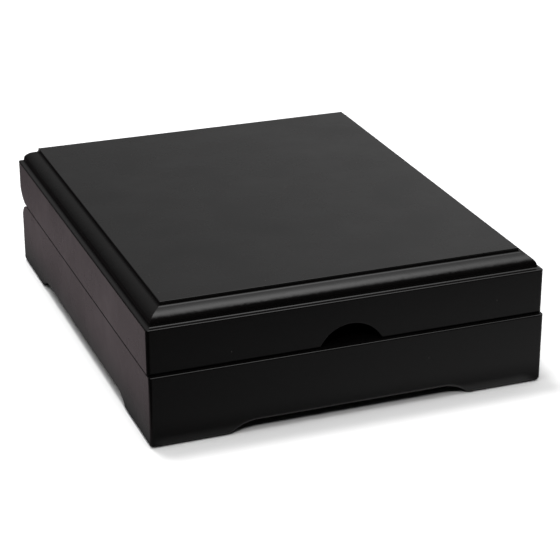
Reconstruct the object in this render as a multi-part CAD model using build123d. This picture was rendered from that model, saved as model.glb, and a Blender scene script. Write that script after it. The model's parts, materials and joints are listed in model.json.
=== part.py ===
from build123d import *
import math
import os

# Lidded wooden coin display case, millimetres, +Z up.
# The origin is on the surface the case stands on, under the middle of the closed case.
# The lid is as large as the base and sits SETBACK further back, so the base shows a step in front
# and the lid overhangs the base behind.

# ---------------------------------------------------------------- driving dimensions
CASE_W = 150.0          # both halves, left to right
CASE_D = 181.5          # each half, front to back
SETBACK = 1.8           # how far the lid sits behind the base
PAD_PROUD = 0.4         # felt pads stand this far below the wooden feet
BASE_H = 26.6           # wooden base, foot to seam
SEAM_GAP = 0.2          # daylight between base and lid
WALL = 10.0             # front and side rails
BACK_WALL = 16.0        # back rails, which carry the hinges
CORNER_R = 1.3          # upright corners
BASE_EDGE_R = 0.5       # top arris of the base's front
LID_EDGE_R = 0.5        # bottom arris of the lid's front
SIDE_EDGE_R = 0.2       # both arrises of the seam along the sides
BACK_ROUND_R = 10.0     # the facing rounds that form the groove behind the seam

# feet: a shallow arch with ogee ends is cut along each side of the base
END_FOOT_LEN = 28.3     # each foot, along the front and back
SIDE_FOOT_LEN = 30.5    # along the sides
ARCH_H = 3.7
OGEE_CONVEX_R = 3.5
OGEE_CONCAVE_R = 14.5
FOOT_EDGE_R = 1.2

# lid moulding, as insets from the lid's outline and heights above the wooden feet
RIM_Z = 43.55
RIM_R = 0.5
LEDGE_IN, LEDGE_Z = 1.95, 43.83
COVE_R = 0.9            # hollow where the ledge meets the moulding
QUIRK_H = 0.8           # upright between the ledge and the ovolo
OVOLO_A, OVOLO_B = 9.06, 4.7    # half axes of the ellipse that the ovolo is a part of
FIELD_IN = 7.1
FIELD_COVE_R = 1.3      # hollow at the foot of the raised field
FIELD_ARRIS_R = 0.3
CASE_H = 50.4           # wooden case, foot to top

# thumb notch in the front of the lid
NOTCH_R = 12.7
NOTCH_Z = 21.4          # height of the notch's centre above the wooden feet
NOTCH_EDGE_R = 0.6      # round on the notch's front arris

# floor, blocks and pads
FLOOR_Z, FLOOR_T = 8.0, 3.0
GROOVE = 4.0
GROOVE_SLACK = 0.2
BLOCK = 14.0
PAD_R, PAD_T = 5.5, 1.2

# lining and coin tray
LINER_T = 2.0
LINER_BELOW_SEAM = 0.6
TRAY_CLEAR = 0.5
SPACER_T = 4.4
CORE_T = 7.0
PILE = 0.6              # thickness of the velvet
RECESS_R = 22.3         # finished recess, for a 44 mm capsule
COLUMN_PITCH, ROW_PITCH = 56.0, 48.0
COLUMNS, ROWS = 2, 3
FINGER_R = 7.0          # half width of the finger channel through each row
FINGER_REACH = 56.0     # end of the channel from the middle
RIBBON_W, RIBBON_T, RIBBON_LIE = 10.0, 0.35, 17.0

# lid lining
BOARD_T = 1.5
CUSHION_T = 6.6
CUSHION_CLEAR = 0.5
CUSHION_R = 3.0

# butt hinges
HINGE_X = 42.0
HINGE_LEN = 25.0
KNUCKLES = 5
KNUCKLE_GAP = 0.15
BARREL_R, PIN_R, BORE_R = 1.7, 0.8, 0.85
PIN_HEAD_R, PIN_HEAD_T = 1.2, 0.5
LEAF_T = 1.0
LEAF_FRONT = 75.6
LEAF_TO_AXIS = 2.2
BARREL_ROOM = 2.1
AXIS_Y = 85.5
SCREW_SPREAD = 8.0
SCREW_Y = 79.4
SCREW_LEN, SCREW_R, SCREW_HEAD_R, SCREW_HEAD_T = 7.0, 0.8, 1.6, 0.8
SCREW_SLOT_W, SCREW_SLOT_D = 0.4, 0.3
SNUG = 0.03             # radial room round a screw in its hole

# closing magnets
MAGNET_X, MAGNET_R, MAGNET_T = 50.0, 2.5, 3.0

# ---------------------------------------------------------------- derived places
FOOT_Z = PAD_PROUD
BASE_TOP = FOOT_Z + BASE_H
LID_Z = BASE_TOP + SEAM_GAP
PANEL_Z = FOOT_Z + LEDGE_Z + QUIRK_H
TOP_Z = FOOT_Z + CASE_H
BASE_Y = -SETBACK / 2
LID_Y = SETBACK / 2
AXIS_Z = (BASE_TOP + LID_Z) / 2
IN_X = CASE_W / 2 - WALL
FLOOR_TOP = FOOT_Z + FLOOR_Z + FLOOR_T


def half_depths(centre_y):
    """Front and back of a half's outline, then of the room inside its walls."""
    front, back = centre_y - CASE_D / 2, centre_y + CASE_D / 2
    return front, back, front + WALL, back - BACK_WALL


BASE_FRONT, BASE_BACK, BASE_IN_FRONT, BASE_IN_BACK = half_depths(BASE_Y)
LID_FRONT, LID_BACK, LID_IN_FRONT, LID_IN_BACK = half_depths(LID_Y)

nodes = {}


# ---------------------------------------------------------------- helpers
def block(x0, x1, y0, y1, z0, z1):
    return Pos((x0 + x1) / 2, (y0 + y1) / 2, (z0 + z1) / 2) * Box(x1 - x0, y1 - y0, z1 - z0)


def rod_x(r, x0, x1, y, z):
    return Pos((x0 + x1) / 2, y, z) * Rot(0, 90, 0) * Cylinder(r, x1 - x0)


def rod_z(r, x, y, z0, z1):
    return Pos(x, y, (z0 + z1) / 2) * Cylinder(r, z1 - z0)


def along_x(face, length):
    """Extrudes a section drawn as (y, z) along X, to both sides of the middle."""
    return extrude(Plane.YZ * face, amount=length / 2, both=True)


def along_y(face, length, centre_y):
    """Extrudes a section drawn as (x, z) along Y, to both sides of centre_y."""
    return Pos(0, centre_y, 0) * extrude(Plane.XZ * face, amount=length / 2, both=True)


def near(shape, u, v):
    """The vertex of a flat section nearest to a point."""
    return min(shape.vertices(), key=lambda p: (p.X - u) ** 2 + (p.Y - v) ** 2)


def rounded(face, corners):
    """Rounds the corners of a section: {(u, v): radius}."""
    for (u, v), radius in corners.items():
        face = fillet(near(face, u, v), radius)
    return face


def outline_prism(centre_y, z0, z1):
    plan = RectangleRounded(CASE_W, CASE_D, CORNER_R)
    return Pos(0, centre_y, z0) * extrude(plan, amount=z1 - z0)


def rails(ring, name, front, back, in_front, in_back):
    """Cuts a frame into four rails along the mitres from outer to inner corners."""
    def mitre(sx, outer_y, inner_y):
        outer, inner = (sx * CASE_W / 2, outer_y), (sx * IN_X, inner_y)
        step = (inner[0] - outer[0], inner[1] - outer[1])
        return [(outer[0] + t * step[0], outer[1] + t * step[1]) for t in (-1, 3)]

    fl, fr = mitre(-1, front, in_front), mitre(1, front, in_front)
    bl, br = mitre(-1, back, in_back), mitre(1, back, in_back)
    wedges = {
        "front": [fl[0], fr[0], fr[1], fl[1]],
        "back": [bl[0], bl[1], br[1], br[0]],
        "left": [fl[0], fl[1], bl[1], bl[0]],
        "right": [fr[0], br[0], br[1], fr[1]],
    }
    for side, corners in wedges.items():
        wedge = extrude(make_face(Polyline(*corners, close=True)), amount=TOP_Z)
        nodes[f"{name}_{side}_rail"] = ring & wedge


# ---------------------------------------------------------------- hinges
def knuckle_spans(parity):
    """Left and right ends of every other knuckle, from the middle of the hinge."""
    pitch = HINGE_LEN / KNUCKLES
    for i in range(parity, KNUCKLES, 2):
        x0 = -HINGE_LEN / 2 + i * pitch
        yield (x0 + (KNUCKLE_GAP if i else 0), x0 + pitch - (KNUCKLE_GAP if i < KNUCKLES - 1 else 0))


def screw_places():
    return [(hx + sx, SCREW_Y) for hx in (-HINGE_X, HINGE_X) for sx in (-SCREW_SPREAD, SCREW_SPREAD)]


def screw(x, y, z, up, room=0.0):
    """A countersunk slotted screw driven from z, downwards or upwards. With room it is the hole for one."""
    way = 1 if up else -1
    shank = rod_z(SCREW_R + room, x, y, *sorted((z, z + way * (SCREW_LEN + room))))
    head = Pos(x, y, z + way * SCREW_HEAD_T / 2) * Cone(
        *((SCREW_HEAD_R + room, SCREW_R + room) if up else (SCREW_R + room, SCREW_HEAD_R + room)),
        SCREW_HEAD_T,
    )
    body = shank + head
    if room:
        return body
    slot = Pos(x, y, z + way * SCREW_SLOT_D / 2) * Box(SCREW_HEAD_R * 2.2, SCREW_SLOT_W, SCREW_SLOT_D)
    return body - slot


def leaf(hinge_x, upper):
    """One leaf with its knuckles. The upper leaf is the lid's."""
    z0, z1 = (LID_Z, LID_Z + LEAF_T) if upper else (BASE_TOP - LEAF_T, BASE_TOP)
    plate = block(-HINGE_LEN / 2, HINGE_LEN / 2, LEAF_FRONT, AXIS_Y - LEAF_TO_AXIS, z0, z1)
    for x0, x1 in knuckle_spans(1 if upper else 0):
        plate += block(x0, x1, AXIS_Y - LEAF_TO_AXIS, AXIS_Y - PIN_R, z0, z1)
        plate += rod_x(BARREL_R, x0, x1, AXIS_Y, AXIS_Z)
    plate -= rod_x(BORE_R, -HINGE_LEN, HINGE_LEN, AXIS_Y, AXIS_Z)
    plate = Pos(hinge_x, 0, 0) * plate
    face_z = LID_Z if upper else BASE_TOP
    for x, y in screw_places():
        if abs(x - hinge_x) < HINGE_LEN / 2:
            plate -= screw(x, y, face_z, upper, SNUG)
    return plate


def hinge_pin(hinge_x):
    half = HINGE_LEN / 2
    pin = rod_x(PIN_R, hinge_x - half, hinge_x + half, AXIS_Y, AXIS_Z)
    for x0 in (hinge_x - half - PIN_HEAD_T, hinge_x + half):
        pin += rod_x(PIN_HEAD_R, x0, x0 + PIN_HEAD_T, AXIS_Y, AXIS_Z)
    return pin


def hinge_mortises(upper):
    """Everything the hinges need cut out of a back rail."""
    z0, z1 = (LID_Z, LID_Z + LEAF_T) if upper else (BASE_TOP - LEAF_T, BASE_TOP)
    half = HINGE_LEN / 2
    cut = None
    for hx in (-HINGE_X, HINGE_X):
        bed = block(hx - half, hx + half, LEAF_FRONT, AXIS_Y, z0, z1)
        bed += rod_x(BARREL_ROOM, hx - half - 1.0, hx + half + 1.0, AXIS_Y, AXIS_Z)
        cut = bed if cut is None else cut + bed
    for x, y in screw_places():
        cut += screw(x, y, LID_Z if upper else BASE_TOP, upper, SNUG)
    return cut


def magnets(z0, z1):
    y = (LID_FRONT + BASE_IN_FRONT) / 2
    return [rod_z(MAGNET_R, sx * MAGNET_X, y, z0, z1) for sx in (-1, 1)]


# ---------------------------------------------------------------- base frame
def arch_section(foot_end):
    """The arch cut under one side, as (along, z), with an ogee at each end."""
    radii = OGEE_CONVEX_R + OGEE_CONCAVE_R
    run = math.sqrt(2 * ARCH_H * radii - ARCH_H**2)
    turn = math.asin(run / radii)

    def convex(t, s):
        return s * (foot_end - OGEE_CONVEX_R * math.sin(t)), FOOT_Z + OGEE_CONVEX_R * (1 - math.cos(t))

    def concave(t, s):
        drop = OGEE_CONCAVE_R * (1 - math.cos(t))
        return s * (foot_end - run + OGEE_CONCAVE_R * math.sin(t)), FOOT_Z + ARCH_H - drop

    lines = [
        Polyline((-foot_end, FOOT_Z), (-foot_end, -1), (foot_end, -1), (foot_end, FOOT_Z)),
        Line(concave(0, 1), concave(0, -1)),
    ]
    for s in (-1, 1):
        lines.append(ThreePointArc(convex(0, s), convex(turn / 2, s), convex(turn, s)))
        lines.append(ThreePointArc(concave(turn, s), concave(turn / 2, s), concave(0, s)))
    return make_face(Wire.combine([e for line in lines for e in line.edges()])[0])


def base_ring():
    front, back, in_front, in_back = BASE_FRONT, BASE_BACK, BASE_IN_FRONT, BASE_IN_BACK
    mid_z = (FOOT_Z + BASE_TOP) / 2
    side = rounded(
        Pos(BASE_Y, mid_z) * Rectangle(CASE_D, BASE_H),
        {(front, BASE_TOP): BASE_EDGE_R, (back, BASE_TOP): BACK_ROUND_R},
    )
    end = rounded(
        Pos(0, mid_z) * Rectangle(CASE_W, BASE_H),
        {(-CASE_W / 2, BASE_TOP): SIDE_EDGE_R, (CASE_W / 2, BASE_TOP): SIDE_EDGE_R},
    )
    ring = along_x(side, CASE_W) & along_y(end, CASE_D, BASE_Y) & outline_prism(BASE_Y, FOOT_Z, BASE_TOP)
    ring -= along_y(arch_section(CASE_W / 2 - END_FOOT_LEN), CASE_D + 10, BASE_Y)
    ring -= Pos(0, BASE_Y, 0) * along_x(arch_section(CASE_D / 2 - SIDE_FOOT_LEN), CASE_W + 10)
    foot_edges = [e for e in ring.edges() if on_outer_foot(e)]
    ring = fillet(foot_edges, FOOT_EDGE_R)
    ring -= block(-IN_X, IN_X, in_front, in_back, -1, TOP_Z)
    ring -= block(
        -IN_X - GROOVE, IN_X + GROOVE, in_front - GROOVE, in_back + GROOVE,
        FOOT_Z + FLOOR_Z, FOOT_Z + FLOOR_Z + FLOOR_T,
    )
    ring -= hinge_mortises(False)
    for magnet in magnets(BASE_TOP - MAGNET_T, BASE_TOP):
        ring -= magnet
    return ring


def on_outer_foot(edge):
    """True for the lower edges that lie in the outer faces, round the corners as well."""
    box = edge.bounding_box()
    if box.max.Z > FOOT_Z + ARCH_H + 0.01:
        return False
    flat_x = box.size.X < 0.01 and abs(abs(box.min.X) - CASE_W / 2) < 0.01
    flat_y = box.size.Y < 0.01 and min(abs(box.min.Y - BASE_FRONT), abs(box.min.Y - BASE_BACK)) < 0.01
    corner = box.size.Z < 0.01 and 0.5 < box.size.X < CORNER_R + 0.1 and 0.5 < box.size.Y < CORNER_R + 0.1
    return flat_x or flat_y or corner


def make_base():
    rails(base_ring(), "base", BASE_FRONT, BASE_BACK, BASE_IN_FRONT, BASE_IN_BACK)
    reach = GROOVE - GROOVE_SLACK
    nodes["base_floor_panel"] = block(
        -IN_X - reach, IN_X + reach, BASE_IN_FRONT - reach, BASE_IN_BACK + reach,
        FOOT_Z + FLOOR_Z, FLOOR_TOP,
    )
    pads = []
    for side, sx in (("left", -1), ("right", 1)):
        for end, inner_y, sy in (("front", BASE_IN_FRONT, 1), ("back", BASE_IN_BACK, -1)):
            xs = sorted((sx * IN_X, sx * (IN_X - BLOCK)))
            ys = sorted((inner_y, inner_y + sy * BLOCK))
            nodes[f"corner_block_{end}_{side}"] = block(*xs, *ys, PAD_T, FOOT_Z + FLOOR_Z)
            pads.append(rod_z(PAD_R, sum(xs) / 2, sum(ys) / 2, 0, PAD_T))
    nodes["felt_pads"] = Compound(children=pads)
    nodes["base_magnets"] = Compound(children=magnets(BASE_TOP - MAGNET_T, BASE_TOP))


# ---------------------------------------------------------------- lid frame and top
def lid_ring():
    top = PANEL_Z

    def section(lo, hi):
        """Outer section of the lid frame between two sides, with the sloping ledge round its top."""
        rim, foot = FOOT_Z + RIM_Z, FOOT_Z + LEDGE_Z
        left = [(lo + LEDGE_IN, top), (lo + LEDGE_IN, foot), (lo, rim), (lo, LID_Z)]
        right = [(hi, LID_Z), (hi, rim), (hi - LEDGE_IN, foot), (hi - LEDGE_IN, top)]
        radii = {left[1]: COVE_R, left[2]: RIM_R, right[1]: RIM_R, right[2]: COVE_R}
        return make_face(Polyline(*left, *right, close=True)), radii

    half = CASE_W / 2
    side, side_rims = section(LID_FRONT, LID_BACK)
    end, end_rims = section(-half, half)
    side = rounded(side, {**side_rims, (LID_FRONT, LID_Z): LID_EDGE_R, (LID_BACK, LID_Z): BACK_ROUND_R})
    end = rounded(end, {**end_rims, (-half, LID_Z): SIDE_EDGE_R, (half, LID_Z): SIDE_EDGE_R})
    ring = along_x(side, CASE_W) & along_y(end, CASE_D, LID_Y) & outline_prism(LID_Y, LID_Z, top)
    ring -= block(-IN_X, IN_X, LID_IN_FRONT, LID_IN_BACK, 0, TOP_Z)
    ring -= notch_cutter()
    ring -= hinge_mortises(True)
    for magnet in magnets(LID_Z, LID_Z + MAGNET_T):
        ring -= magnet
    return ring


def notch_cutter():
    """A round bar through the lid's front rail that flares at the face, which rounds the arris."""
    flare = NOTCH_R + NOTCH_EDGE_R
    arris_y = LID_FRONT + NOTCH_EDGE_R
    corner = NOTCH_EDGE_R * (1 - math.sqrt(0.5))
    lines = [
        Polyline((flare, LID_FRONT), (flare, LID_FRONT - 1), (0, LID_FRONT - 1)),
        Polyline((0, LID_FRONT - 1), (0, LID_IN_FRONT + 1), (NOTCH_R, LID_IN_FRONT + 1), (NOTCH_R, arris_y)),
        ThreePointArc((NOTCH_R, arris_y), (NOTCH_R + corner, LID_FRONT + corner), (flare, LID_FRONT)),
    ]
    half = make_face(Wire.combine([e for line in lines for e in line.edges()])[0])
    return Pos(0, 0, FOOT_Z + NOTCH_Z) * revolve(half, axis=Axis.Y)


def panel_section(lo, hi):
    """Moulded top as a section: flattened ovolo, hollow, upright fillet and the flat field."""
    turn = math.acos(1 - (FIELD_IN - LEDGE_IN) / OVOLO_A)
    foot, land = PANEL_Z, PANEL_Z + OVOLO_B * math.sin(turn)
    sweep = math.degrees(turn)
    ends = {}
    lines = [Line((lo + LEDGE_IN, foot), (hi - LEDGE_IN, foot))]
    for s, edge in ((1, lo), (-1, hi)):
        def at(inset, z):
            return edge + s * inset, z

        start = 180 - sweep if s > 0 else 0
        centre = at(LEDGE_IN + OVOLO_A, foot)
        lines.append(EllipticalCenterArc(centre, OVOLO_A, OVOLO_B, start, arc_size=sweep))
        lines.append(Line(at(FIELD_IN, land), at(FIELD_IN, TOP_Z)))
        ends[at(FIELD_IN, land)] = FIELD_COVE_R
        ends[at(FIELD_IN, TOP_Z)] = FIELD_ARRIS_R
    lines.append(Line((lo + FIELD_IN, TOP_Z), (hi - FIELD_IN, TOP_Z)))
    face = make_face(Wire.combine([e for line in lines for e in line.edges()])[0])
    return rounded(face, ends)


def make_lid():
    rails(lid_ring(), "lid", LID_FRONT, LID_BACK, LID_IN_FRONT, LID_IN_BACK)
    lengthwise = along_x(panel_section(LID_FRONT, LID_BACK), CASE_W)
    crosswise = along_y(panel_section(-CASE_W / 2, CASE_W / 2), CASE_D, LID_Y)
    nodes["lid_top_panel"] = lengthwise & crosswise
    side = IN_X - CUSHION_CLEAR
    room = (-side, side, LID_IN_FRONT + CUSHION_CLEAR, LID_IN_BACK - CUSHION_CLEAR)
    board_z = PANEL_Z - BOARD_T
    nodes["lid_lining_board"] = block(*room, board_z, PANEL_Z)
    cushion = block(*room, board_z - CUSHION_T, board_z)
    lower = cushion.edges().group_by(Axis.Z)[0]
    nodes["lid_cushion"] = fillet(lower, CUSHION_R)
    nodes["lid_magnets"] = Compound(children=magnets(LID_Z, LID_Z + MAGNET_T))


# ---------------------------------------------------------------- lining and tray
def tray_holes(extra):
    """Plan of the recesses: a round for each capsule and a finger channel through each row."""
    centre_y = (BASE_IN_FRONT + BASE_IN_BACK) / 2
    plan = None
    for row in range(ROWS):
        y = centre_y + (row - (ROWS - 1) / 2) * ROW_PITCH
        shape = Pos(0, y) * SlotOverall(2 * (FINGER_REACH + extra), 2 * (FINGER_R + extra))
        for column in range(COLUMNS):
            x = (column - (COLUMNS - 1) / 2) * COLUMN_PITCH
            shape += Pos(x, y) * Circle(RECESS_R + extra)
        plan = shape if plan is None else plan + shape
    return plan


def make_lining():
    top = BASE_TOP - LINER_BELOW_SEAM
    in_front, in_back = BASE_IN_FRONT, BASE_IN_BACK
    nodes["base_liner_front"] = block(-IN_X, IN_X, in_front, in_front + LINER_T, FLOOR_TOP, top)
    nodes["base_liner_back"] = block(-IN_X, IN_X, in_back - LINER_T, in_back, FLOOR_TOP, top)
    for side, sx in (("left", -1), ("right", 1)):
        xs = sorted((sx * IN_X, sx * (IN_X - LINER_T)))
        nodes[f"base_liner_{side}"] = block(*xs, in_front + LINER_T, in_back - LINER_T, FLOOR_TOP, top)

    margin = LINER_T + TRAY_CLEAR
    edges = (-IN_X + margin, IN_X - margin, in_front + margin, in_back - margin)
    inside = (edges[0] + PILE, edges[1] - PILE, edges[2] + PILE, edges[3] - PILE)
    core_z = FLOOR_TOP + SPACER_T
    core_top = core_z + CORE_T
    nodes["tray_spacer"] = block(*edges, FLOOR_TOP, core_z)
    holes = extrude(tray_holes(PILE), amount=TOP_Z)
    core = block(*inside, core_z, core_top) - holes
    nodes["tray_core"] = core
    finished = Pos(0, 0, core_z + PILE) * extrude(tray_holes(0), amount=TOP_Z)
    nodes["tray_velvet"] = block(*edges, core_z, core_top + PILE) - core - finished

    tray_top = core_top + PILE
    hang = block(-RIBBON_W / 2, RIBBON_W / 2, edges[2] - RIBBON_T, edges[2], FLOOR_TOP, tray_top)
    lie = block(
        -RIBBON_W / 2, RIBBON_W / 2, edges[2] - RIBBON_T, edges[2] + RIBBON_LIE,
        tray_top, tray_top + 3 * RIBBON_T,
    )
    nodes["tray_lift_ribbon"] = hang + lie


def make_hinges():
    for side, x in (("left", -HINGE_X), ("right", HINGE_X)):
        nodes[f"hinge_{side}_base_leaf"] = leaf(x, False)
        nodes[f"hinge_{side}_lid_leaf"] = leaf(x, True)
        nodes[f"hinge_{side}_pin"] = hinge_pin(x)
    nodes["base_hinge_screws"] = Compound(children=[screw(x, y, BASE_TOP, False) for x, y in screw_places()])
    nodes["lid_hinge_screws"] = Compound(children=[screw(x, y, LID_Z, True) for x, y in screw_places()])


make_base()
make_lid()
make_lining()
make_hinges()

os.makedirs("parts", exist_ok=True)
for name, shape in nodes.items():
    export_step(shape, f"parts/{name}.step")
print(len(nodes), "nodes")
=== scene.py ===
import json
import math

import bmesh
import bpy
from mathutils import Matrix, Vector, noise


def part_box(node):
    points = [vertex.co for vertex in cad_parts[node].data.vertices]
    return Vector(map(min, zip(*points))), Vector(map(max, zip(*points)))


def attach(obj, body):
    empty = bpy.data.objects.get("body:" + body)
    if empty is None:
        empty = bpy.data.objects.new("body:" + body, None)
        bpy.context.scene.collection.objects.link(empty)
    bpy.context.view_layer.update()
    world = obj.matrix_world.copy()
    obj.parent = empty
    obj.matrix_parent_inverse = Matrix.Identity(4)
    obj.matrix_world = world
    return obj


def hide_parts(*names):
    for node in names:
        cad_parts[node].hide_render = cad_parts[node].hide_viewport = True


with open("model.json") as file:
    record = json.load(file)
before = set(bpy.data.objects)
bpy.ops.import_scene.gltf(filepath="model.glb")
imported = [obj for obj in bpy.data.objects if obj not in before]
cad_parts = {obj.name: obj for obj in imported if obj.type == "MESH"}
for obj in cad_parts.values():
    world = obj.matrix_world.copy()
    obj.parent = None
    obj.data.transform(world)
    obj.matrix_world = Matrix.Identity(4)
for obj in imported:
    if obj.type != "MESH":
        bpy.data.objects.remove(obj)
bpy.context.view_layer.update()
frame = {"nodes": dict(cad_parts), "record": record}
nodes = frame["nodes"]
scene = bpy.context.scene

MM = 0.001

# coin tray: each row is two round recesses and the finger channel through them
COIN_R = 22.3 * MM
COIN_X = 28.0 * MM          # recess middle, from the middle of the tray
CHANNEL_R = 7.0 * MM
CHANNEL_END = 49.0 * MM     # middle of the channel's round end
JOIN_R = 1.0 * MM           # fillet where recess and channel meet
ROWS = (-48.0 * MM, 0.0, 48.0 * MM)
PILE = 0.6 * MM             # velvet that covers the board in a recess

CUSHION_CELL = 2.0 * MM     # size of the cloth's faces before smoothing
CUSHION_START = 3.0 * MM    # depth of the lid's pad before it swells
RIBBON_W = 10.0 * MM
RIBBON_HALF_T = 0.14 * MM
PAD_R = 5.5 * MM            # felt foot pads


# ---------------------------------------------------------------- finishes
class Finish:
    """One node material: a Principled shader and the patterns wired into it."""

    def __init__(self, name, **sockets):
        self.material = bpy.data.materials.new(name)
        self.material.use_nodes = True
        self.tree = self.material.node_tree
        self.shader = next(n for n in self.tree.nodes if n.type == "BSDF_PRINCIPLED")
        self.place = self.tree.nodes.new("ShaderNodeTexCoord").outputs["Object"]
        for socket, value in sockets.items():
            self.shader.inputs[socket.replace("_", " ")].default_value = value

    def node(self, kind, **settings):
        made = self.tree.nodes.new("ShaderNode" + kind)
        for name, value in settings.items():
            setattr(made, name, value)
        return made

    def wire(self, output, socket):
        if isinstance(output, (int, float)):
            socket.default_value = output
        else:
            self.tree.links.new(output, socket)

    def spread(self, stretch, turn=(0, 0, 0), centre=(0, 0, 0)):
        """Object coordinates, stretched and turned about a centre."""
        mapping = self.node("Mapping")
        mapping.inputs["Location"].default_value = centre
        mapping.inputs["Rotation"].default_value = turn
        mapping.inputs["Scale"].default_value = stretch
        self.wire(self.place, mapping.inputs["Vector"])
        return mapping.outputs["Vector"]

    def cloud(self, scale, detail=2.0, roughness=0.5, place=None, warp=0.0):
        noise = self.node("TexNoise")
        noise.inputs["Scale"].default_value = scale
        noise.inputs["Detail"].default_value = detail
        noise.inputs["Roughness"].default_value = roughness
        noise.inputs["Distortion"].default_value = warp
        self.wire(place or self.place, noise.inputs["Vector"])
        return noise.outputs["Fac"]

    def cells(self, scale, place=None, feature="F1"):
        pattern = self.node("TexVoronoi", feature=feature)
        pattern.inputs["Scale"].default_value = scale
        self.wire(place or self.place, pattern.inputs["Vector"])
        return pattern

    def ramp(self, value, low, high, start=0.0, end=1.0, smooth=False):
        """Maps low..high onto start..end, held at both ends."""
        mapped = self.node("MapRange", clamp=True)
        if smooth:
            mapped.interpolation_type = "SMOOTHSTEP"
        for socket, number in zip(("From Min", "From Max", "To Min", "To Max"), (low, high, start, end)):
            mapped.inputs[socket].default_value = number
        self.wire(value, mapped.inputs["Value"])
        return mapped.outputs["Result"]

    def sum(self, first, second, how="ADD"):
        maths = self.node("Math", operation=how)
        self.wire(first, maths.inputs[0])
        self.wire(second, maths.inputs[1])
        return maths.outputs[0]

    def mix(self, share, first, second):
        """Two colours, mixed by a share. Each is a colour or another node's output."""
        mixed = self.node("Mix", data_type="RGBA")
        self.wire(share, mixed.inputs[0])
        for socket, colour in ((mixed.inputs[6], first), (mixed.inputs[7], second)):
            if isinstance(colour, tuple):
                socket.default_value = (*colour, 1.0)
            else:
                self.wire(colour, socket)
        return mixed.outputs[2]

    def set(self, socket, output):
        self.wire(output, self.shader.inputs[socket])

    def bump(self, height, depth, strength=1.0, sockets=("Normal",), under=None):
        """A relief of that depth in metres. under is a bump that lies below it."""
        relief = self.node("Bump")
        relief.inputs["Strength"].default_value = strength
        relief.inputs["Distance"].default_value = depth
        self.wire(height, relief.inputs["Height"])
        if under is not None:
            self.wire(under, relief.inputs["Normal"])
        for socket in sockets:
            self.set(socket, relief.outputs["Normal"])
        return relief.outputs["Normal"]


def black_lacquer():
    finish = Finish(
        "black_lacquer", Specular_IOR_Level=0.02, Coat_Weight=0.42, Coat_Roughness=0.13, Coat_IOR=1.5,
    )
    tone = finish.cloud(14, detail=3)
    body = finish.mix(finish.ramp(tone, 0.35, 0.65), (0.0011, 0.0010, 0.0010), (0.0016, 0.0014, 0.0014))
    dust = finish.cells(420)
    speck = finish.ramp(dust.outputs["Distance"], 0.05, 0.09, 1.0, 0.0)
    rare = finish.ramp(finish.cloud(260, detail=1), 0.66, 0.70)
    body = finish.mix(finish.sum(speck, rare, "MULTIPLY"), body, (0.045, 0.043, 0.040))
    finish.set("Base Color", body)
    finish.set("Roughness", finish.ramp(finish.cloud(38, detail=4, roughness=0.6), 0.3, 0.7, 0.34, 0.52))
    flow = finish.cloud(520, detail=1.5)
    pit = finish.ramp(dust.outputs["Distance"], 0.02, 0.13, 1.3, 0.0)
    few = finish.ramp(finish.cloud(120, detail=1), 0.60, 0.64)
    surface = finish.sum(flow, finish.sum(pit, few, "MULTIPLY"), "SUBTRACT")
    finish.bump(surface, 0.00006, 0.25, sockets=("Normal", "Coat Normal"))
    return finish.material


def stained_wood():
    finish = Finish("stained_wood", Specular_IOR_Level=0.3)
    along = finish.spread((1.0, 0.05, 1.0))
    grain = finish.cloud(900, detail=5, roughness=0.65, place=along, warp=0.4)
    bands = finish.cloud(110, detail=2, place=along, warp=1.2)
    tone = finish.sum(finish.ramp(grain, 0.3, 0.7, 0.0, 0.6), finish.ramp(bands, 0.35, 0.65, 0.0, 0.4))
    finish.set("Base Color", finish.mix(tone, (0.011, 0.009, 0.008), (0.034, 0.027, 0.022)))
    finish.set("Roughness", finish.ramp(grain, 0.3, 0.7, 0.5, 0.72))
    finish.bump(grain, 0.00015, 0.5)
    return finish.material


def dyed_board():
    finish = Finish("dyed_board", Specular_IOR_Level=0.2, Roughness=0.85)
    fibres = finish.cloud(1500, detail=4, roughness=0.7)
    flecks = finish.cells(900, place=finish.spread((1.0, 0.35, 1.0)))
    tone = finish.ramp(finish.sum(fibres, flecks.outputs["Distance"], "MULTIPLY"), 0.1, 0.45)
    finish.set("Base Color", finish.mix(tone, (0.030, 0.026, 0.023), (0.075, 0.067, 0.060)))
    finish.bump(fibres, 0.0001, 0.5)
    return finish.material


def polished_brass():
    finish = Finish("polished_brass", Metallic=1.0, Coat_Weight=0.3, Coat_Roughness=0.1)
    brush = finish.cloud(700, detail=3, place=finish.spread((0.06, 1.0, 1.0)))
    haze = finish.cloud(160, detail=3)
    finish.set("Base Color", finish.mix(finish.ramp(haze, 0.35, 0.7), (0.80, 0.60, 0.29), (0.62, 0.43, 0.19)))
    finish.set("Roughness", finish.ramp(finish.sum(brush, haze), 0.7, 1.3, 0.16, 0.36))
    finish.bump(brush, 0.00003, 0.4)
    return finish.material


def nickel_plate():
    finish = Finish("nickel_plate", Metallic=1.0)
    haze = finish.cloud(420, detail=4)
    finish.set("Base Color", finish.mix(finish.ramp(haze, 0.3, 0.7), (0.70, 0.69, 0.67), (0.56, 0.55, 0.53)))
    finish.set("Roughness", finish.ramp(haze, 0.3, 0.7, 0.18, 0.34))
    finish.bump(haze, 0.00002, 0.4)
    return finish.material


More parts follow.
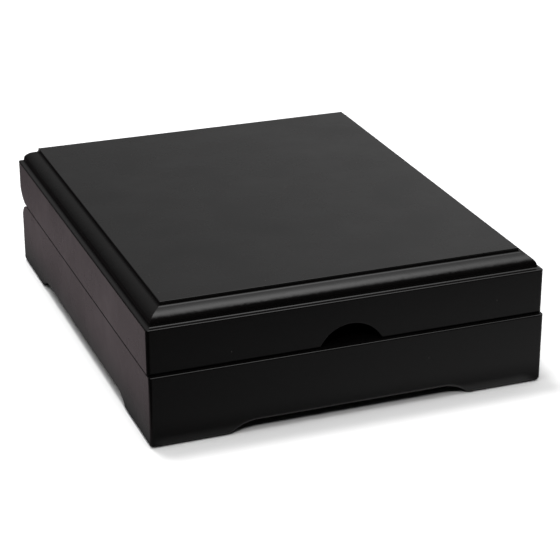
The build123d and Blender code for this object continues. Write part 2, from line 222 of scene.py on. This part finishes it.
def black_velvet():
    finish = Finish(
        "black_velvet", Specular_IOR_Level=0.15, Sheen_Weight=0.55, Sheen_Roughness=0.32,
        Sheen_Tint=(0.60, 0.58, 0.58, 1.0),
    )
    pile = finish.cloud(2600, detail=3, roughness=0.7)
    brushed = finish.cloud(70, detail=2, place=finish.spread((1.0, 0.45, 1.0), turn=(0, 0, 0.5)), warp=0.8)
    tone = finish.sum(finish.ramp(pile, 0.3, 0.7, 0.0, 0.6), finish.ramp(brushed, 0.4, 0.62, 0.0, 0.4))
    finish.set("Base Color", finish.mix(tone, (0.0035, 0.0033, 0.0034), (0.016, 0.015, 0.0155)))
    finish.set("Roughness", finish.ramp(brushed, 0.35, 0.65, 0.78, 0.95))
    finish.bump(pile, 0.00018, 0.6, under=finish.bump(brushed, 0.0004, 0.35))
    return finish.material


def padded_satin():
    """Black satin: close floats that run front to back, with a soft change of tone across the cloth."""
    finish = Finish(
        "padded_satin", Specular_IOR_Level=0.7, Anisotropic=0.45, Sheen_Weight=0.12, Sheen_Roughness=0.4,
    )
    floats = finish.cloud(1500, detail=2, place=finish.spread((1.0, 0.06, 1.0)))
    picks = finish.cloud(2200, detail=1, place=finish.spread((0.08, 1.0, 1.0)))
    cloth = finish.sum(finish.ramp(floats, 0.3, 0.7, 0.0, 0.7), finish.ramp(picks, 0.3, 0.7, 0.0, 0.3))
    shade = finish.cloud(35, detail=2)
    tone = finish.sum(finish.ramp(cloth, 0.2, 0.8, 0.0, 0.5), finish.ramp(shade, 0.3, 0.7, 0.0, 0.5))
    finish.set("Base Color", finish.mix(tone, (0.0050, 0.0046, 0.0050), (0.0135, 0.0128, 0.0135)))
    finish.set("Roughness", finish.ramp(cloth, 0.2, 0.8, 0.28, 0.38))
    finish.bump(cloth, 0.000015, 0.35)
    return finish.material


def ribbon_satin():
    """Narrow woven ribbon: ribs across, close floats along, and firm edges, laid on its own UV map."""
    finish = Finish("ribbon_satin", Specular_IOR_Level=0.5, Sheen_Weight=0.1)
    finish.place = finish.node("UVMap", uv_map="UVMap").outputs["UV"]
    ribs = finish.cloud(90, detail=1, place=finish.spread((0.12, 3.2, 1.0)))
    floats = finish.cloud(160, detail=2, place=finish.spread((1.0, 0.1, 1.0)))
    across = finish.node("SeparateXYZ")
    finish.wire(finish.place, across.inputs[0])
    off_middle = finish.sum(finish.sum(across.outputs["X"], 0.5, "SUBTRACT"), 0.0, "ABSOLUTE")
    edge = finish.ramp(off_middle, 0.42, 0.46)
    cloth = finish.sum(finish.ramp(ribs, 0.35, 0.65, 0.0, 0.6), finish.ramp(floats, 0.3, 0.7, 0.0, 0.4))
    tone = finish.sum(finish.ramp(cloth, 0.0, 1.0, 0.0, 0.75), finish.sum(edge, 0.25, "MULTIPLY"))
    finish.set("Base Color", finish.mix(tone, (0.006, 0.0055, 0.006), (0.030, 0.028, 0.029)))
    finish.set("Roughness", finish.ramp(cloth, 0.0, 1.0, 0.30, 0.50))
    finish.bump(cloth, 0.00008, 0.7, under=finish.bump(edge, 0.0001, 0.6))
    return finish.material


def pressed_felt():
    finish = Finish(
        "pressed_felt", Specular_IOR_Level=0.1, Sheen_Weight=0.3, Sheen_Roughness=0.6, Roughness=0.95,
    )
    hairs = finish.cloud(1700, detail=4, roughness=0.75, warp=1.5)
    clumps = finish.cells(650)
    tone = finish.ramp(finish.sum(hairs, clumps.outputs["Distance"], "MULTIPLY"), 0.08, 0.38)
    finish.set("Base Color", finish.mix(tone, (0.009, 0.009, 0.009), (0.036, 0.035, 0.034)))
    finish.bump(hairs, 0.0002, 0.7)
    return finish.material


FINISHES = {
    "lacquer": black_lacquer(),
    "stained_wood": stained_wood(),
    "board": dyed_board(),
    "brass": polished_brass(),
    "magnet": nickel_plate(),
    "velvet": black_velvet(),
    "satin": padded_satin(),
    "ribbon": ribbon_satin(),
    "felt": pressed_felt(),
}

slots = {part["node"]: part["material_slot"] for part in frame["record"]["subparts"]}
for name, node in nodes.items():
    if slots[name] in FINISHES:
        node.data.materials.clear()
        node.data.materials.append(FINISHES[slots[name]])


# ---------------------------------------------------------------- velvet, satin, ribbon and felt
def finished_piece(name, mesh, slot, body, *stands_for):
    """Puts a mesh in the scene in its slot's finish, on its body, in place of the nodes it stands for."""
    mesh.materials.clear()
    mesh.materials.append(FINISHES[slot])
    mesh.shade_smooth()
    piece = bpy.data.objects.new(name, mesh)
    scene.collection.objects.link(piece)
    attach(piece, body)
    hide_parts(*stands_for)
    return piece


def mesh_of(name, shape):
    """The bmesh as a mesh, its faces turned outwards."""
    bmesh.ops.recalc_face_normals(shape, faces=shape.faces)
    mesh = bpy.data.meshes.new(name)
    shape.to_mesh(mesh)
    shape.free()
    return mesh


def arc(centre, radius, start, end, step):
    """Points along an arc, ends included, each about a step from the next."""
    count = max(3, math.ceil(abs(end - start) * radius / step))
    turns = [start + (end - start) * i / count for i in range(count + 1)]
    return [(centre[0] + radius * math.cos(t), centre[1] + radius * math.sin(t)) for t in turns]


def quarter_round(radius, steps=6):
    """(inwards, upwards) steps of a rounded arris, from its upright side to its level side."""
    turns = [math.pi / 2 * i / steps for i in range(steps + 1)]
    return [(radius * (1 - math.cos(t)), radius * math.sin(t)) for t in turns]


def rounded_outline(low, high, radius):
    """A rounded rectangle, clockwise from above."""
    corners = (
        (low[0], high[1], 1.0), (high[0], high[1], 0.5), (high[0], low[1], 0.0), (low[0], low[1], -0.5),
    )
    line = []
    for x, y, turn in corners:
        centre = (x + math.copysign(radius, -x), y + (radius if y == low[1] else -radius))
        line += arc(centre, radius, turn * math.pi, (turn - 0.5) * math.pi, 0.25 * MM)
    return line


def recess_outline(row):
    """Two round recesses and the finger channel through them, clockwise, round a row's middle."""
    rise = CHANNEL_R + JOIN_R
    spread = COIN_R + JOIN_R
    between = CHANNEL_END - COIN_X
    reach = (spread ** 2 - rise ** 2 + between ** 2) / (2 * between)
    coin, end = (COIN_X, 0.0), (CHANNEL_END, 0.0)
    inner = (COIN_X - math.sqrt(spread ** 2 - rise ** 2), rise)
    outer = (COIN_X + reach, math.sqrt(spread ** 2 - reach ** 2))

    def towards(start, finish):
        return math.atan2(finish[1] - start[1], finish[0] - start[0]) % (2 * math.pi)

    quarter = [(inner[0] * i / 12, CHANNEL_R) for i in range(12)]
    quarter += arc(inner, JOIN_R, 1.5 * math.pi, towards(inner, coin), 0.2 * MM)
    quarter += arc(coin, COIN_R, towards(coin, inner), towards(coin, outer), 0.8 * MM)[1:]
    quarter += arc(outer, JOIN_R, towards(outer, coin), towards(outer, end), 0.2 * MM)[1:]
    quarter += arc(end, CHANNEL_R, towards(end, outer), 0.0, 0.5 * MM)[1:]
    right = quarter + [(x, -y) for x, y in reversed(quarter[:-1])]
    line = right + [(-x, y) for x, y in reversed(right[1:-1])]
    return [(x, y + row) for x, y in line]


def moved_out(line, distance):
    """The clockwise line moved outwards by that distance."""
    moved = []
    for before, here, after in zip(line[-1:] + line[:-1], line, line[1:] + line[:1]):
        along = Vector((after[0] - before[0], after[1] - before[1])).normalized()
        moved.append((here[0] - along.y * distance, here[1] + along.x * distance))
    return moved


def skin(shape, levels):
    """A wall of quads through outlines that match point for point. Returns its rings of points."""
    rings = [[shape.verts.new((x, y, z)) for x, y in line] for line, z in levels]
    for lower, upper in zip(rings, rings[1:]):
        for i in range(len(lower)):
            shape.faces.new((lower[i - 1], lower[i], upper[i], upper[i - 1]))
    return rings


def cover(shape, *rings):
    """Fills the flat area between rings."""
    edges = [shape.edges.get((ring[i - 1], ring[i])) for ring in rings for i in range(len(ring))]
    bmesh.ops.triangle_fill(shape, edges=edges, use_beauty=True)


def tray_cover():
    """Velvet glued over the coin board: its top and sides, and a lining in every recess."""
    low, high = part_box("tray_velvet")
    top, recess_floor = high.z, low.z + PILE
    thick, rim, cove, land = 0.58 * MM, 0.8 * MM, 1.0 * MM, 0.5 * MM
    shape = bmesh.new()
    outline = rounded_outline(low, high, 1.2 * MM)
    levels = [(outline, low.z)]
    levels += [(moved_out(outline, -i), top - rim + u) for i, u in quarter_round(rim)]
    outside = skin(shape, levels + [(moved_out(outline, -rim - land), top)])
    behind = moved_out(outline, -thick)
    inside = skin(shape, [(outline, low.z), (behind, low.z), (behind, top - thick)])
    tops, undersides = [outside[-1]], [inside[-1]]
    for row in ROWS:
        line = recess_outline((low.y + high.y) / 2 + row)
        levels = [(moved_out(line, -cove - land), recess_floor)]
        levels += [(moved_out(line, u - cove), recess_floor + i) for i, u in quarter_round(cove)]
        levels += [(moved_out(line, i), top - rim + u) for i, u in quarter_round(rim)]
        lining = skin(shape, levels + [(moved_out(line, rim + land), top)])
        back = skin(shape, [(moved_out(line, thick), low.z), (moved_out(line, thick), top - thick)])
        cover(shape, lining[0])
        cover(shape, back[0])
        tops.append(lining[-1])
        undersides.append(back[-1])
    cover(shape, *tops)
    cover(shape, *undersides)
    bmesh.ops.remove_doubles(shape, verts=shape.verts, dist=1e-7)
    return finished_piece("tray_cover", mesh_of("tray_cover", shape), "velvet", "base", "tray_velvet")


def wrapped_liner(side):
    """A strip of board in velvet, with soft arrises and a face that is not quite flat."""
    node = f"base_liner_{side}"
    low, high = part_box(node)
    size = high - low
    shape = bmesh.new()
    bmesh.ops.create_cube(shape, size=1.0)
    for vert in shape.verts:
        vert.co = [middle + across * place for middle, across, place in zip((low + high) / 2, size, vert.co)]
    bmesh.ops.bevel(shape, geom=shape.edges[:], offset=0.7 * MM, segments=4, profile=0.5, affect="EDGES")
    long_way = 0 if size.x > size.y else 1
    for step in range(1, 40):
        point = low.copy()
        point[long_way] += size[long_way] * step / 40
        normal = [0, 0, 0]
        normal[long_way] = 1
        parts = shape.verts[:] + shape.edges[:] + shape.faces[:]
        bmesh.ops.bisect_plane(shape, geom=parts, plane_co=point, plane_no=normal)
    for vert in shape.verts:
        ease = 0.09 * MM * (0.5 + 0.5 * noise.noise(vert.co * 90))
        vert.co -= ease * (vert.co - (low + high) / 2).normalized()
    return finished_piece(f"wrapped_{node}", mesh_of(node, shape), "velvet", "base", node)


def blown_cushion(pad, high):
    """Lets the pad swell as a satin bag that is glued along its back, with some cloth to spare."""
    pinned = pad.vertex_groups.new(name="glued_back")
    pinned.add([v.index for v in pad.data.vertices if v.co.z > high.z - 0.4 * MM], 1.0, "ADD")
    cloth = pad.modifiers.new("cloth", "CLOTH")
    cloth.settings.quality = 8
    cloth.settings.mass = 0.08
    cloth.settings.tension_stiffness = cloth.settings.compression_stiffness = 12
    cloth.settings.shear_stiffness = 4
    cloth.settings.bending_stiffness = 0.05
    cloth.settings.shrink_min = -0.045
    cloth.settings.use_pressure = True
    cloth.settings.uniform_pressure_force = 4.0
    cloth.settings.vertex_group_mass = pinned.name
    cloth.settings.effector_weights.gravity = 0.0
    cloth.collision_settings.use_collision = False
    cloth.point_cache.frame_start, cloth.point_cache.frame_end = 1, 20
    for step in range(1, 21):
        scene.frame_set(step)
    swollen = bpy.data.meshes.new_from_object(pad.evaluated_get(bpy.context.evaluated_depsgraph_get()))
    pad.modifiers.remove(cloth)
    pad.vertex_groups.clear()
    scene.frame_set(1)
    return swollen


def gathers(point, low, high):
    """Height of the small tucks that run in from the glued edges of the satin."""
    middle, half = (low + high) / 2, (high - low) / 2
    height = 0.0
    for side, along in ((0, 1), (1, 0)):
        inward = half[side] - abs(point[side] - middle[side])
        seed = math.copysign(3.0, point[side] - middle[side]) + side
        tuck = noise.noise(Vector((point[along] * 210, seed, 0.0)))
        tuck += 0.5 * noise.noise(Vector((point[along] * 520, seed, 7.0)))
        height += tuck * math.exp(-inward / (5.5 * MM)) * min(1.0, inward / (1.2 * MM))
    return 0.75 * MM * height


def lid_pad():
    low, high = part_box("lid_cushion")
    middle, half = (low + high) / 2, (high - low) / 2
    inset = Vector((0.5, 0.5, 0.0)) * MM
    start = (low + inset, high - inset)
    start[0].z = high.z - CUSHION_START
    shape = bmesh.new()
    bmesh.ops.create_cube(shape, size=1.0)
    for vert in shape.verts:
        vert.co = [a + (b - a) * (place + 0.5) for a, b, place in zip(*start, vert.co)]
    pad = bpy.data.objects.new("pad", mesh_of("pad", shape))
    scene.collection.objects.link(pad)
    remesh = pad.modifiers.new("cells", "REMESH")
    remesh.mode = "VOXEL"
    remesh.voxel_size = CUSHION_CELL
    cells = bpy.data.meshes.new_from_object(pad.evaluated_get(bpy.context.evaluated_depsgraph_get()))
    pad.modifiers.remove(remesh)
    pad.data = cells
    before = [v.co.copy() for v in cells.vertices]
    pad.data = blown_cushion(pad, high)
    for vert, place in zip(pad.data.vertices, before):
        move = vert.co - place
        across = [(place[i] - middle[i]) / half[i] for i in (0, 1)]
        crown = math.sqrt(max(0.0, (1 - across[0] ** 2) * (1 - across[1] ** 2)))
        cap = (0.9 + 2.4 * crown) * MM
        vert.co = place + move.normalized() * cap * math.tanh(move.length / cap)
    smoother = pad.modifiers.new("smoother", "SUBSURF")
    smoother.levels = smoother.render_levels = 1
    mesh = bpy.data.meshes.new_from_object(pad.evaluated_get(bpy.context.evaluated_depsgraph_get()))
    bpy.data.objects.remove(pad)
    for vert in mesh.vertices:
        if vert.co.z < high.z - 0.6 * MM:
            vert.co.z += gathers(vert.co, low, high)
        vert.co = [min(max(v, a), b) for v, a, b in zip(vert.co, low, high)]
    piece = finished_piece("lid_pad", mesh, "satin", "lid", "lid_cushion")
    return piece


def lift_ribbon():
    """Ribbon that comes up in front of the tray, turns over its edge and lies on it, a little raised."""
    low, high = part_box("tray_lift_ribbon")
    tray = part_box("tray_velvet")
    half = RIBBON_HALF_T
    front, top = tray[0].y - half - 0.02 * MM, tray[1].z + half + 0.02 * MM
    bend = 0.9 * MM
    path = [(front, low.z + 0.1 * MM + i * (top - bend - low.z - 0.1 * MM) / 12) for i in range(12)]
    path += arc((front + bend, top - bend), bend, math.pi, math.pi / 2, 0.2 * MM)
    length = high.y - (front + bend) - 0.2 * MM
    for i in range(1, 29):
        share = i / 28
        lift = 0.62 * MM * math.sin(math.pi * min(1.0, share * 1.12)) ** 2
        path.append((front + bend + length * share, top + lift))
    shape = bmesh.new()
    chart = shape.loops.layers.uv.new("UVMap")
    columns = 16
    rows, run = [], 0.0
    for i, (y, z) in enumerate(path):
        before, after = path[max(i - 1, 0)], path[min(i + 1, len(path) - 1)]
        run += math.dist(path[max(i - 1, 0)], path[i])
        along = Vector((after[0] - before[0], after[1] - before[1])).normalized()
        row = []
        for side in (-1, 1):
            for column in range(columns + 1):
                across = column / columns - 0.5
                hem = 0.55 if abs(across) > 0.44 else 0.4
                thick = half * (hem + 0.45) * side
                row.append(shape.verts.new((across * RIBBON_W, y - along.y * thick, z + along.x * thick)))
        rows.append((row, run))
    span = columns + 1
    for (first, start), (second, stop) in zip(rows, rows[1:]):
        loop = list(range(span)) + list(range(2 * span - 1, span - 1, -1))
        for i in range(len(loop)):
            a, b = loop[i - 1], loop[i]
            face = shape.faces.new((first[a], first[b], second[b], second[a]))
            for corner, (place, at) in zip(face.loops, ((a, start), (b, start), (b, stop), (a, stop))):
                corner[chart].uv = ((place % span) / columns, at / RIBBON_W)
    for row, at in (rows[0], rows[-1]):
        for i in range(columns):
            face = shape.faces.new((row[i], row[i + 1], row[span + i + 1], row[span + i]))
            for corner, place in zip(face.loops, (i, i + 1, i + 1, i)):
                corner[chart].uv = (place / columns, at / RIBBON_W)
    piece = finished_piece("lift_ribbon", mesh_of("lift_ribbon", shape), "ribbon", "base", "tray_lift_ribbon")
    return piece


class NodeTree:
    """A geometry node tree with named inputs, built node by node."""

    def __init__(self, name, **inputs):
        self.tree = bpy.data.node_groups.new(name, "GeometryNodeTree")
        self.values = {}
        for label, (kind, value) in inputs.items():
            socket = self.tree.interface.new_socket(label, in_out="INPUT", socket_type="NodeSocket" + kind)
            self.values[socket.identifier] = value
        self.tree.interface.new_socket("Geometry", in_out="OUTPUT", socket_type="NodeSocketGeometry")
        self.sizes = self.tree.nodes.new("NodeGroupInput").outputs

    def node(self, kind, *values, output=0, **settings):
        """A node with its first sockets set or wired in order. None leaves a socket alone."""
        made = self.tree.nodes.new(kind)
        for name, value in settings.items():
            setattr(made, name, value)
        for socket, value in zip(made.inputs, values):
            if isinstance(value, bpy.types.NodeSocket):
                self.tree.links.new(value, socket)
            elif value is not None:
                socket.default_value = value
        return made.outputs[output]

    def maths(self, operation, *values):
        return self.node("ShaderNodeMath", *values, operation=operation)

    def result(self, geometry):
        self.tree.links.new(geometry, self.tree.nodes.new("NodeGroupOutput").inputs[0])

    def made_mesh(self):
        """The tree's result as a plain mesh."""
        holder = bpy.data.objects.new("holder", bpy.data.meshes.new("holder"))
        scene.collection.objects.link(holder)
        modifier = holder.modifiers.new("tree", "NODES")
        modifier.node_group = self.tree
        for identifier, value in self.values.items():
            modifier[identifier] = value
        mesh = bpy.data.meshes.new_from_object(holder.evaluated_get(bpy.context.evaluated_depsgraph_get()))
        bpy.data.objects.remove(holder)
        return mesh


def foot_pads():
    """Four felt discs with soft arrises, one under each corner."""
    low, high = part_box("felt_pads")
    width = 2 * PAD_R
    discs = NodeTree(
        "felt_discs", Radius=("Float", PAD_R - 0.05 * MM), Thickness=("Float", high.z - low.z),
        Apart_X=("Float", high.x - low.x - width), Apart_Y=("Float", high.y - low.y - width),
        Middle=("Vector", ((low.x + high.x) / 2, (low.y + high.y) / 2, 0.0)),
        Finish=("Material", FINISHES["felt"]),
    )
    size = discs.sizes
    ball = discs.node("GeometryNodeMeshUVSphere", 48, 24, 1.0)
    axes = discs.tree.nodes.new("ShaderNodeSeparateXYZ")
    discs.tree.links.new(discs.node("GeometryNodeInputPosition"), axes.inputs[0])
    x, y, z = axes.outputs
    squares = discs.maths("ADD", discs.maths("MULTIPLY", x, x), discs.maths("MULTIPLY", y, y))
    reach = discs.maths("MAXIMUM", discs.maths("SQRT", squares), 0.001)
    widen = discs.maths("MULTIPLY", discs.maths("POWER", reach, -0.78), size["Radius"])
    squashed = discs.maths("POWER", discs.maths("ABSOLUTE", z), 0.35)
    flat = discs.maths("MULTIPLY", discs.maths("SIGN", z), squashed)
    height = discs.maths("MULTIPLY", discs.maths("MULTIPLY_ADD", flat, 0.5, 0.5), size["Thickness"])
    place = discs.node(
        "ShaderNodeCombineXYZ", discs.maths("MULTIPLY", x, widen), discs.maths("MULTIPLY", y, widen), height,
    )
    disc = discs.node("GeometryNodeSetPosition", ball, None, place)
    corners = discs.node("GeometryNodeMeshGrid", size["Apart_X"], size["Apart_Y"], 2, 2)
    corners = discs.node("GeometryNodeTransform", corners, size["Middle"])
    pads = discs.node("GeometryNodeInstanceOnPoints", corners, None, disc)
    pads = discs.node("GeometryNodeRealizeInstances", pads)
    discs.result(discs.node("GeometryNodeSetMaterial", pads, None, size["Finish"]))
    return finished_piece("foot_pads", discs.made_mesh(), "felt", "base", "felt_pads")


tray_cover()
for side in ("front", "back", "left", "right"):
    wrapped_liner(side)
lid_pad()
lift_ribbon()
foot_pads()


# ---------------------------------------------------------------- studio
FLOOR = 0.48                    # brightness of the floor as it is seen
PAINTED_FRONT_REFLECTION = (0.076, 0.30)     # painted reflection: tones of the mirrored floor in front, at its left and right
PAINTED_SIDE_REFLECTION = (0.170, 0.102)     # painted reflection: tones of the mirrored floor beside the left side, at its front and back
PAINTED_ARCH_HIGHLIGHT = 4.2                # painted highlight: how much brighter the mirrored floor is painted under the front arch


def soft_light(name, place, aim, width, length, radiance, tint=(1.0, 1.0, 1.0)):
    """A flat softbox at place that faces aim. Its radiance is the brightness that a mirror would show."""
    data = bpy.data.lights.new(name, "AREA")
    data.shape = "RECTANGLE"
    data.size, data.size_y = width, length
    data.energy = 4 * radiance * width * length
    data.color = tint
    light = bpy.data.objects.new(name, data)
    scene.collection.objects.link(light)
    light.location = place
    light.rotation_euler = (Vector(aim) - Vector(place)).to_track_quat("-Z", "Y").to_euler()
    return light


def floor_sheet(name, half, finish):
    mesh = bpy.data.meshes.new(name)
    corners = [(-half, -half, 0), (half, -half, 0), (half, half, 0), (-half, half, 0)]
    mesh.from_pydata(corners, [], [(0, 1, 2, 3)])
    mesh.materials.append(finish)
    floor = bpy.data.objects.new(name, mesh)
    scene.collection.objects.link(floor)
    return floor


def pale_floor():
    finish = Finish("pale_floor", Specular_IOR_Level=0.0, Roughness=1.0)
    finish.set("Base Color", finish.mix(finish.cloud(3), (FLOOR,) * 3, (FLOOR + 0.02,) * 3))
    return finish.material


def painted_reflection_floor():
    """Painted reflection: the floor as only mirroring finishes see it, its colour painted with light and
    shade.
    It is darker in front and towards the left, with painted shade close beside the left side, warm beside
    the left side, and painted bright in a strip under the front, which the rounded edge of the arch mirrors
    as a highlight."""
    finish = Finish("painted_reflection_floor", Specular_IOR_Level=0.0, Roughness=1.0)
    axes = finish.node("SeparateXYZ")
    finish.wire(finish.place, axes.inputs[0])
    x, y = axes.outputs["X"], axes.outputs["Y"]
    in_front = finish.ramp(x, -0.09, 0.13, *PAINTED_FRONT_REFLECTION)
    # painted shade in the reflection: the floor in front is darkened left of the case and far ahead of it
    corner = finish.ramp(x, -0.096, -0.078, 0.03, 1.0)
    ahead = finish.ramp(y, -0.24, -0.11, 0.03, 1.0)
    in_front = finish.sum(finish.sum(in_front, corner, "MULTIPLY"), ahead, "MULTIPLY")
    # painted shade in the reflection: beside the left side the floor is darker far out and in a narrow band
    # close to the case
    near = finish.ramp(x, -0.122, -0.106, 0.12, 1.0)
    for band in ((-0.087, -0.077, 1.07, 0.67), (-0.0775, -0.0755, 1.0, 0.72)):
        near = finish.sum(near, finish.ramp(x, *band), "MULTIPLY")
    beside = finish.sum(finish.ramp(y, 0.02, 0.19, *PAINTED_SIDE_REFLECTION), near, "MULTIPLY")
    behind = finish.ramp(y, -0.100, -0.085)
    tone = finish.sum(in_front, finish.sum(finish.sum(beside, in_front, "SUBTRACT"), behind, "MULTIPLY"))
    # painted highlight: a strip under the front of the case is painted brighter, though the floor there lies
    # in the case's shade
    under = finish.sum(finish.ramp(y, -0.099, -0.095), finish.ramp(y, -0.070, -0.062, 1.0, 0.0), "MULTIPLY")
    for end in ((-0.074, -0.070, 0.0, 1.0), (0.070, 0.074, 1.0, 0.0)):
        under = finish.sum(under, finish.ramp(x, *end), "MULTIPLY")
    tone = finish.sum(tone, finish.ramp(under, 0.0, 1.0, 1.0, PAINTED_ARCH_HIGHLIGHT), "MULTIPLY")
    # painted reflection: a warm tint on the floor beside the left side
    warm = finish.mix(finish.ramp(x, -0.083, -0.076), (1.12, 0.94, 0.99), (1.0, 1.0, 1.0))
    finish.set("Base Color", finish.mix(tone, (0.0, 0.0, 0.0), warm))
    return finish.material


floor = floor_sheet("floor", 6.0, pale_floor())
floor.visible_glossy = False
# painted reflection: a sheet seen only by mirroring rays, whose colour is painted with the light and shade
# that the lacquer mirrors
mirrored = floor_sheet("painted_reflection_floor", 6.0, painted_reflection_floor())
mirrored.location.z = 0.0001
mirrored.visible_camera = mirrored.visible_diffuse = mirrored.visible_shadow = False

soft_light("floor_light", (-0.15, 0.37, 1.50), (0.0, 0.0, 0.0), 0.35, 0.35, 58.0).visible_glossy = False
soft_light("front_light", (-0.45, -1.15, 1.35), (-0.04, -0.06, 0.0), 0.50, 0.30, 28.0).visible_glossy = False

# Brightness of the studio by direction. Along an arch, 0 is straight in front, 0.5 overhead and 1
# straight behind. Across it, 0 is the left and 1 the right.
CEILING_ARCH = (
    (0.25, 0.0), (0.29, 0.02), (0.33, 0.12), (0.37, 0.45), (0.41, 0.77), (0.46, 0.97), (0.50, 1.0),
    (0.55, 0.70), (0.60, 0.30), (0.66, 0.08), (0.74, 0.01), (0.80, 0.0),
)
CEILING_ACROSS = (
    (0.0, 0.3), (0.5, 0.7), (0.633, 0.9), (0.66, 1.0), (0.68, 0.95), (0.717, 0.66), (0.8, 0.35), (1.0, 0.2),
)
CEILING = 6.0
BACK_ARCH = ((0.28, 0.02), (0.5, 0.25), (0.65, 1.0), (0.86, 1.0), (1.0, 0.5))
BACK_ACROSS = ((0.0, 0.15), (0.3, 0.20), (0.465, 0.45), (0.6, 0.58), (0.65, 0.76), (0.71, 1.0), (1.0, 1.0))
BACK = 0.72


def studio_walls():
    """A wide soft ceiling that fades forwards and backwards, and a dim back wall, darker on the left."""
    world = bpy.data.worlds.new("studio_walls")
    world.use_nodes = True
    tree = world.node_tree

    def maths(operation, first, second):
        made = tree.nodes.new("ShaderNodeMath")
        made.operation = operation
        for socket, value in zip(made.inputs, (first, second)):
            if isinstance(value, float):
                socket.default_value = value
            else:
                tree.links.new(value, socket)
        return made.outputs[0]

    def steps(value, stops):
        ramp = tree.nodes.new("ShaderNodeValToRGB")
        elements = ramp.color_ramp.elements
        for place, level in stops[2:]:
            elements.new(place)
        for element, (place, level) in zip(elements, stops):
            element.position = place
            element.color = (level, level, level, 1.0)
        tree.links.new(value, ramp.inputs[0])
        return ramp.outputs["Color"]

    axes = tree.nodes.new("ShaderNodeSeparateXYZ")
    tree.links.new(tree.nodes.new("ShaderNodeTexCoord").outputs["Generated"], axes.inputs[0])
    x, y, z = axes.outputs
    arch = maths("DIVIDE", maths("ARCTAN2", z, maths("MULTIPLY", y, -1.0)), math.pi)
    across = maths("MULTIPLY_ADD", x, 0.5)
    across.node.inputs[2].default_value = 0.5
    ceiling = maths("MULTIPLY", steps(arch, CEILING_ARCH), steps(across, CEILING_ACROSS))
    ceiling = maths("MULTIPLY", ceiling, CEILING)
    back = maths("MULTIPLY", steps(arch, BACK_ARCH), steps(across, BACK_ACROSS))
    back = maths("MULTIPLY", back, BACK)
    background = tree.nodes["Background"]
    background.inputs["Color"].default_value = (1.0, 1.0, 1.0, 1.0)
    tree.links.new(maths("ADD", ceiling, back), background.inputs["Strength"])
    scene.world = world


studio_walls()

camera_data = bpy.data.cameras.new("camera")
camera_data.lens = 121.5
camera_data.sensor_width = 36.0
camera_data.clip_start = 0.05
camera_data.clip_end = 50.0
camera = bpy.data.objects.new("camera", camera_data)
camera.location = (-0.23667, -0.64307, 0.31079)
camera.rotation_euler = (math.pi / 2 - 0.40749, 0.0, -0.36236)
scene.collection.objects.link(camera)
scene.camera = camera
scene.view_settings.view_transform = "Standard"
